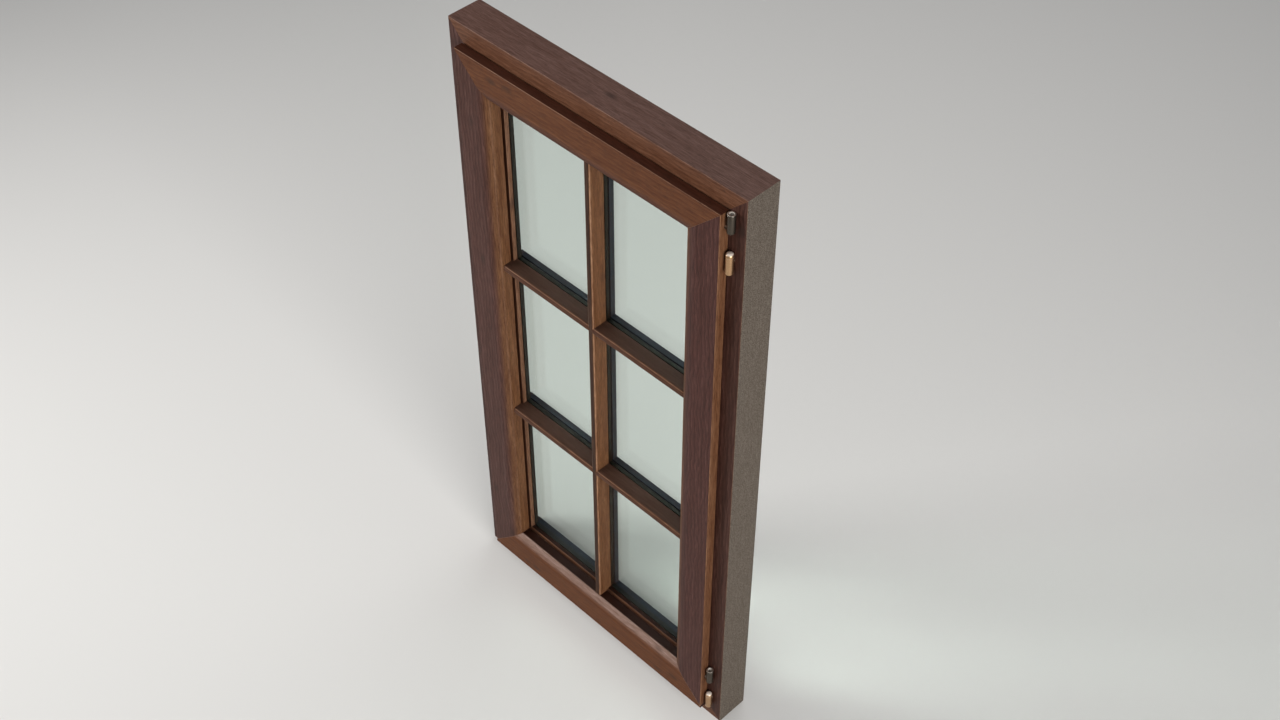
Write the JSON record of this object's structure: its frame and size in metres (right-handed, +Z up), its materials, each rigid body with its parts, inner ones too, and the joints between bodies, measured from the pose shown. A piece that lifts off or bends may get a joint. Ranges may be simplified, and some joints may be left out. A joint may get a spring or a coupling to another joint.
{
  "type": "timber casement window",
  "caption": "Tall timber casement window: mitred frame and side-hung sash, double glazing behind rounded glazing bars, barrel hinges on the right edge.",
  "frame": {"origin": "middle of the sill's underside, half way through the frame's depth", "axes": "+Z up; +X to the right seen from the room; -Y towards the room, so the sash stands proud on -Y"},
  "size_m": [0.64, 0.088, 1.28],
  "materials": {
    "stained_timber": "satin stain",
    "grey_metal": "satin coated",
    "clear_glass": "polished",
    "black_rubber": "matt",
    "satin_aluminium": "satin",
    "satin_steel": "satin",
    "brass": "polished"
  },
  "bodies": {
    "root": {"frame_sill": "stained_timber", "frame_left_jamb": "stained_timber", "frame_head": "stained_timber", "frame_right_jamb": "stained_timber", "sash_bottom_rail": "stained_timber", "sash_left_stile": "stained_timber", "sash_top_rail": "stained_timber", "sash_right_stile": "stained_timber", "inner_bead_bottom": "stained_timber", "inner_bead_left": "stained_timber", "inner_bead_top": "stained_timber", "inner_bead_right": "stained_timber", "inner_bar_upright": "stained_timber", "inner_bar_lower_left": "stained_timber", "inner_bar_lower_right": "stained_timber", "inner_bar_upper_left": "stained_timber", "inner_bar_upper_right": "stained_timber", "outer_bead_bottom": "grey_metal", "outer_bead_left": "grey_metal", "outer_bead_top": "grey_metal", "outer_bead_right": "grey_metal", "outer_bar_upright": "grey_metal", "outer_bar_lower_left": "grey_metal", "outer_bar_lower_right": "grey_metal", "outer_bar_upper_left": "grey_metal", "outer_bar_upper_right": "grey_metal", "inner_pane": "clear_glass", "outer_pane": "clear_glass", "seal_bottom": "black_rubber", "seal_left": "black_rubber", "seal_top": "black_rubber", "seal_right": "black_rubber", "spacer_bottom": "satin_aluminium", "spacer_left": "satin_aluminium", "spacer_top": "satin_aluminium", "spacer_right": "satin_aluminium", "cavity_bar_upright": "satin_aluminium", "cavity_bar_lower_left": "satin_aluminium", "cavity_bar_lower_right": "satin_aluminium", "cavity_bar_upper_left": "satin_aluminium", "cavity_bar_upper_right": "satin_aluminium", "upper_hinge_sleeve": "satin_steel", "lower_hinge_sleeve": "satin_steel", "upper_hinge_pin": "brass", "lower_hinge_pin": "brass"}
  },
  "joints": []
}
